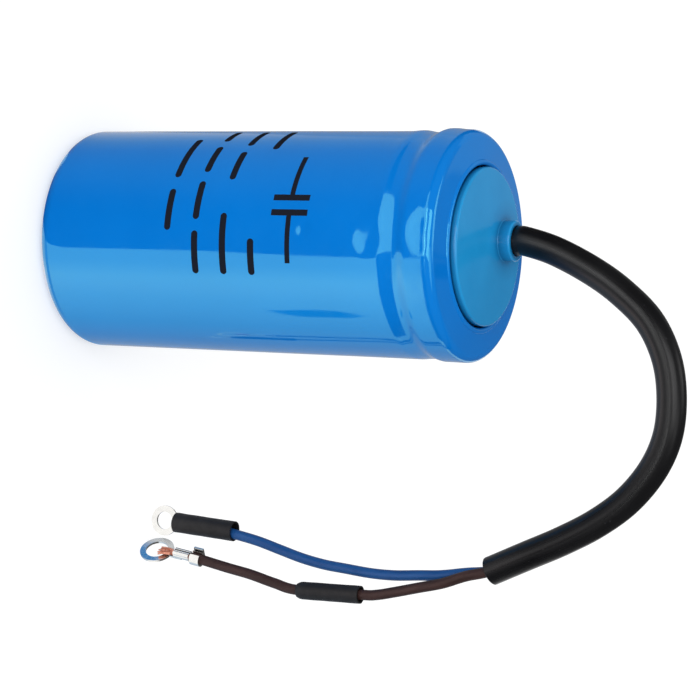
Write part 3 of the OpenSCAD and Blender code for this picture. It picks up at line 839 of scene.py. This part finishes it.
def dress_nodes(copper):
    """Gives the solids that stay their materials."""
    tin = tin_material()
    foil = metal_material("foil", low=(0.68, 0.69, 0.7), high=(0.85, 0.85, 0.86), roughness=0.3)
    brass = metal_material("strip_brass", low=(0.6, 0.42, 0.14), high=(0.78, 0.6, 0.26), roughness=0.3)
    board = fibre_material("pad_card", low=(0.5, 0.37, 0.18), high=(0.66, 0.52, 0.3), roughness=0.8)
    aluminium = metal_material("can_aluminium", low=(0.66, 0.67, 0.68), high=(0.8, 0.81, 0.82),
                               roughness=0.35, scale=150.0, stretch=(1.0, 8.0, 1.0))
    seal = fibre_material("seal_board", low=(0.11, 0.05, 0.03), high=(0.19, 0.09, 0.05), roughness=0.45)
    rubber = fibre_material("gasket_rubber", low=(0.02, 0.02, 0.02), high=(0.035, 0.035, 0.035),
                            roughness=0.7)
    for material, *names in (
            (aluminium, "can"), (board, "foot_pad", "top_pad"), (winding_material(), "winding"),
            (foil, "blue_tab", "brown_tab", "blue_rivet", "brown_rivet"),
            (brass, "blue_strip", "brown_strip"), (seal, "seal_disc"), (rubber, "gasket"),
            (tin, "blue_terminal", "brown_terminal"), (copper, "blue_strands")):
        for name in names:
            dress(NODES[name], material)


bare_copper = metal_material("bare_copper", low=(0.52, 0.17, 0.1), high=(0.9, 0.46, 0.34), roughness=0.26,
                             scale=900.0)
dress_pieces(tube_material(), bare_copper)
dress_nodes(bare_copper)


# Stage, in millimetres, with levels of light from black to white

WHITE = (1.0, 1.0, 1.0)
FLOOR_SIZE = 6000.0
FLOOR_DROP = 0.2
FLOOR_COLOR = 0.6
FLOOR_GLOW = 0.52
WORLD_LEVEL = 0.75
CANOPY_SIZE = 3000.0
CANOPY_HEIGHT = 1600.0
CANOPY_LEVEL = 0.1
WALL_STEPS = 12
WALL_LEVEL = 0.02

# Cards that lie on the floor, one above the other
FLAG_Z = 1.0
FLAG_OUTLINE = [
    (2, -25.5), (5.5, -34), (20, -96), (46, -172), (56, -225), (-233, -225), (-380, -367),
    (-380, 250), (-60, 60), (-25.5, 10), (-18.5, -18)]
STREAK_Z = 0.8
STREAK_OUTLINE = [
    (115.5, -42.5), (124, -44.5), (133, -49.5), (143, -54.5), (155, -56), (165, -52),
    (174.5, -44), (168, -35), (159.5, -33), (147.5, -31), (137, -30), (125.5, -36)]
SIDE_Z = 0.5
RIGHT_OUTLINE = [(0, -270), (300, -270), (300, 300), (0, 300)]
BACK_OUTLINE = [(-300, 0), (0, 0), (0, 300), (-300, 300)]

# Grading of the two large cards: a mirrored bearing in degrees from the view, and a colour
STOP_MOST = 3.0
FLAG_STOPS = [
    (-180, (0.77, 0.7, 0.67)), (-150, (0.66, 0.57, 0.52)), (-128, (0.4, 0.34, 0.28)),
    (-107, (0.26, 0.18, 0.16)), (-90, (0.22, 0.14, 0.11)), (-61, (0.14, 0.09, 0.06)),
    (-40, (0.05, 0.03, 0.02)), (-25, (0.02, 0.02, 0.02))]
RIGHT_STOPS = [
    (10, (1.0, 1.0, 1.0)), (27, (1.08, 1.05, 1.05)), (43, (1.6, 1.4, 1.36)), (54, (1.48, 1.3, 1.32)),
    (66, (1.17, 1.14, 1.22)), (81, (0.9, 0.96, 1.06)), (101, (0.58, 0.73, 0.85)), (119, (0.49, 0.58, 0.7)),
    (135, (0.42, 0.46, 0.56)), (160, (0.45, 0.47, 0.54)), (180, (0.5, 0.52, 0.57))]


def sheet(name, corners, faces, material):
    """Piece of the stage from corners in millimetres."""
    mesh = bpy.data.meshes.new(name)
    mesh.from_pydata([metres(c) for c in corners], [], faces)
    mesh.materials.append(material)
    obj = bpy.data.objects.new(name, mesh)
    bpy.context.scene.collection.objects.link(obj)
    return obj


def seen_share(tree):
    """One for rays from the camera, a reflection or through glass, and zero for rays that carry light."""
    path = tree.nodes.new("ShaderNodeLightPath")
    seen = math_node(tree, "MAXIMUM", path.outputs["Is Camera Ray"], path.outputs["Is Glossy Ray"])
    return math_node(tree, "MAXIMUM", seen, path.outputs["Is Transmission Ray"])


def floor_material():
    """Pale floor that keeps its shadow, lifted to white where the camera and reflections see it."""
    material = bpy.data.materials.new("floor_white")
    material.use_nodes = True
    tree = material.node_tree
    tree.nodes.clear()
    output = tree.nodes.new("ShaderNodeOutputMaterial")
    diffuse = tree.nodes.new("ShaderNodeBsdfDiffuse")
    diffuse.inputs["Color"].default_value = (FLOOR_COLOR, FLOOR_COLOR, FLOOR_COLOR, 1.0)
    glow = tree.nodes.new("ShaderNodeEmission")
    tree.links.new(math_node(tree, "MULTIPLY", seen_share(tree), FLOOR_GLOW), glow.inputs["Strength"])
    both = tree.nodes.new("ShaderNodeAddShader")
    tree.links.new(diffuse.outputs[0], both.inputs[0])
    tree.links.new(glow.outputs[0], both.inputs[1])
    tree.links.new(both.outputs[0], output.inputs["Surface"])
    return material


def bearing_ramp(tree, stops):
    """Colour of a graded card on the floor, from stops of a bearing and a colour.

    The bearing is that of a ray that the round can mirrors to the place: beside the can it is twice the
    bearing of the place itself, and far off it is the same."""
    source = tree.nodes.new("ShaderNodeTexCoord")
    split = tree.nodes.new("ShaderNodeSeparateXYZ")
    tree.links.new(source.outputs["Object"], split.inputs["Vector"])
    east, north = split.outputs["X"], split.outputs["Y"]
    here = math_node(tree, "ARCTAN2", east, math_node(tree, "MULTIPLY", north, -1.0))
    east_square = math_node(tree, "MULTIPLY", east, east)
    north_square = math_node(tree, "MULTIPLY", north, north)
    away = math_node(tree, "SQRT", math_node(tree, "ADD", east_square, north_square))
    span = math_node(tree, "MULTIPLY", away, 2.0)
    gain = math_node(tree, "DIVIDE", span, math_node(tree, "SUBTRACT", span, BODY_R * MM))
    bearing = math_node(tree, "MULTIPLY", here, gain)
    first, last = stops[0][0], stops[-1][0]
    share = spread(tree, bearing, 0.0, 1.0, math.radians(first), math.radians(last))
    ramp = tree.nodes.new("ShaderNodeValToRGB")
    elements = ramp.color_ramp.elements
    while len(elements) < len(stops):
        elements.new(0.5)
    for element, (angle, color) in zip(elements, stops):
        element.position = (angle - first) / (last - first)
        element.color = [level / STOP_MOST for level in color] + [1.0]
    tree.links.new(share, ramp.inputs["Fac"])
    return ramp.outputs["Color"]


def card(name, corners, faces, color=WHITE, facing=False, stops=None):
    """Card that only reflections see, as a studio card held round the object.

    A facing card shows only its front, and one with stops changes colour with the bearing."""
    material = bpy.data.materials.new(name)
    material.use_nodes = True
    tree = material.node_tree
    tree.nodes.clear()
    output = tree.nodes.new("ShaderNodeOutputMaterial")
    glow = tree.nodes.new("ShaderNodeEmission")
    glow.inputs["Color"].default_value = (*color, 1.0)
    surface = glow.outputs[0]
    if stops:
        glow.inputs["Strength"].default_value = STOP_MOST
        tree.links.new(bearing_ramp(tree, stops), glow.inputs["Color"])
    if facing:
        side = tree.nodes.new("ShaderNodeNewGeometry")
        clear = tree.nodes.new("ShaderNodeBsdfTransparent")
        choice = tree.nodes.new("ShaderNodeMixShader")
        tree.links.new(side.outputs["Backfacing"], choice.inputs["Fac"])
        tree.links.new(glow.outputs[0], choice.inputs[1])
        tree.links.new(clear.outputs[0], choice.inputs[2])
        surface = choice.outputs[0]
    tree.links.new(surface, output.inputs["Surface"])
    obj = sheet(name, corners, faces, material)
    obj.visible_camera = False
    obj.visible_diffuse = False
    obj.visible_shadow = False
    obj.visible_transmission = False


def flat_card(name, outline, z, color=WHITE, stops=None):
    """Card that lies on the floor or near it."""
    card(name, [(x, y, z) for x, y in outline], [tuple(range(len(outline)))], color, stops=stops)


def upright_card(name, start, stop, height, color):
    """Small facing card that stands on the floor between two places."""
    corners = [(*start, 0), (*stop, 0), (*stop, height), (*start, height)]
    card(name, corners, [(0, 1, 2, 3)], color, facing=True)


def band_faces(count, closed=False):
    """Faces between two rows of as many points, which may close on themselves."""
    faces = []
    for i in range(count if closed else count - 1):
        n = (i + 1) % count
        faces.append((i, n, count + n, count + i))
    return faces


def arc_card(name, start, stop, steps, rows, color, closed=False):
    """Card between two arcs about the can, each of a radius and a height, with bearings from the view."""
    corners = []
    for radius, z in rows:
        for i in range(steps + 1):
            bearing = math.radians(start + (stop - start) * i / steps)
            corners.append((radius * math.sin(bearing), -radius * math.cos(bearing), z))
    card(name, corners, band_faces(steps + 1, closed), color)


def wall(name, start, stop, distance, height, level, foot=0):
    """Standing card on an arc about the can."""
    arc_card(name, start, stop, WALL_STEPS, [(distance, foot), (distance, height)], (level, level, level))


def square(size):
    half = size / 2
    return [(-half, -half), (half, -half), (half, half), (-half, half)]


def make_stage():
    """Floor and canopy, large cards and walls that light the film, and small cards for the rest."""
    sheet("floor", [(x, y, -FLOOR_DROP) for x, y in square(FLOOR_SIZE)], [(0, 1, 2, 3)], floor_material())
    roof = [(x, y, z) for z in (0, CANOPY_HEIGHT) for x, y in square(CANOPY_SIZE)]
    card("canopy", roof, band_faces(4, closed=True) + [(4, 5, 6, 7)], (CANOPY_LEVEL,) * 3)
    flat_card("flag", FLAG_OUTLINE, FLAG_Z, stops=FLAG_STOPS)
    flat_card("right_card", RIGHT_OUTLINE, SIDE_Z, stops=RIGHT_STOPS)
    flat_card("back_card", BACK_OUTLINE, SIDE_Z, color=(0.35, 0.35, 0.35))
    wall("left_wall", start=-48, stop=-150, distance=360, height=130, level=WALL_LEVEL)
    wall("right_wall", start=9, stop=100, distance=240, height=108, level=WALL_LEVEL)
    wall("back_wall", start=183, stop=230, distance=900, height=700, level=0.25)
    flat_card("streak_card", STREAK_OUTLINE, STREAK_Z, color=(0.05, 0.3, 0.6))
    wall("cable_card", start=-30, stop=30, distance=400, height=160, level=0.3, foot=98)
    arc_card("strip_card", start=5, stop=65, steps=6, rows=[(110, 650), (380, 650)], color=WHITE)
    upright_card("ring_card", start=(92, 8), stop=(56, 8), height=24, color=WHITE)
    upright_card("pale_card", start=(60, 15.2), stop=(60, 26), height=14, color=(0.6, 0.62, 0.64))
    # The foot card is a dark ring that only reflections see round the foot: a painted reflection of the shade
    # there
    arc_card("foot_card", start=0, stop=350, steps=35, rows=[(25.2, 0.9), (26.8, 0.9)],
             color=(0.4, 0.55, 0.75), closed=True)
    upright_card("blue_card", start=(60, 2), stop=(60, 15.2), height=9, color=(0.03, 0.2, 0.5))


def make_world():
    """Even light from all sides, white where it is seen."""
    world = bpy.data.worlds.new("studio")
    bpy.context.scene.world = world
    world.use_nodes = True
    tree = world.node_tree
    background = tree.nodes["Background"]
    background.inputs["Color"].default_value = (*WHITE, 1.0)
    lift = math_node(tree, "MULTIPLY", seen_share(tree), 1.0 - WORLD_LEVEL)
    tree.links.new(math_node(tree, "ADD", lift, WORLD_LEVEL), background.inputs["Strength"])


def softbox(name, at, aim, size, power):
    """Oblong lamp turned to a place, with its power in watts."""
    data = bpy.data.lights.new(name, "AREA")
    data.shape = "RECTANGLE"
    data.size, data.size_y = [side * MM for side in size]
    data.energy = power
    lamp = bpy.data.objects.new(name, data)
    lamp.location = metres(at)
    lamp.rotation_euler = (Vector(aim) - Vector(at)).to_track_quat("-Z", "Y").to_euler()
    bpy.context.scene.collection.objects.link(lamp)


make_stage()
make_world()
softbox("key", at=(-100, -900, 950), aim=(20, 0, 60), size=(750, 800), power=4.0)
softbox("low", at=(0, -950, 120), aim=(0, 0, 20), size=(800, 300), power=3.0)
softbox("back", at=(-200, 400, 1200), aim=(0, 0, 80), size=(500, 500), power=1.0)

bpy.context.scene.view_settings.view_transform = "Standard"
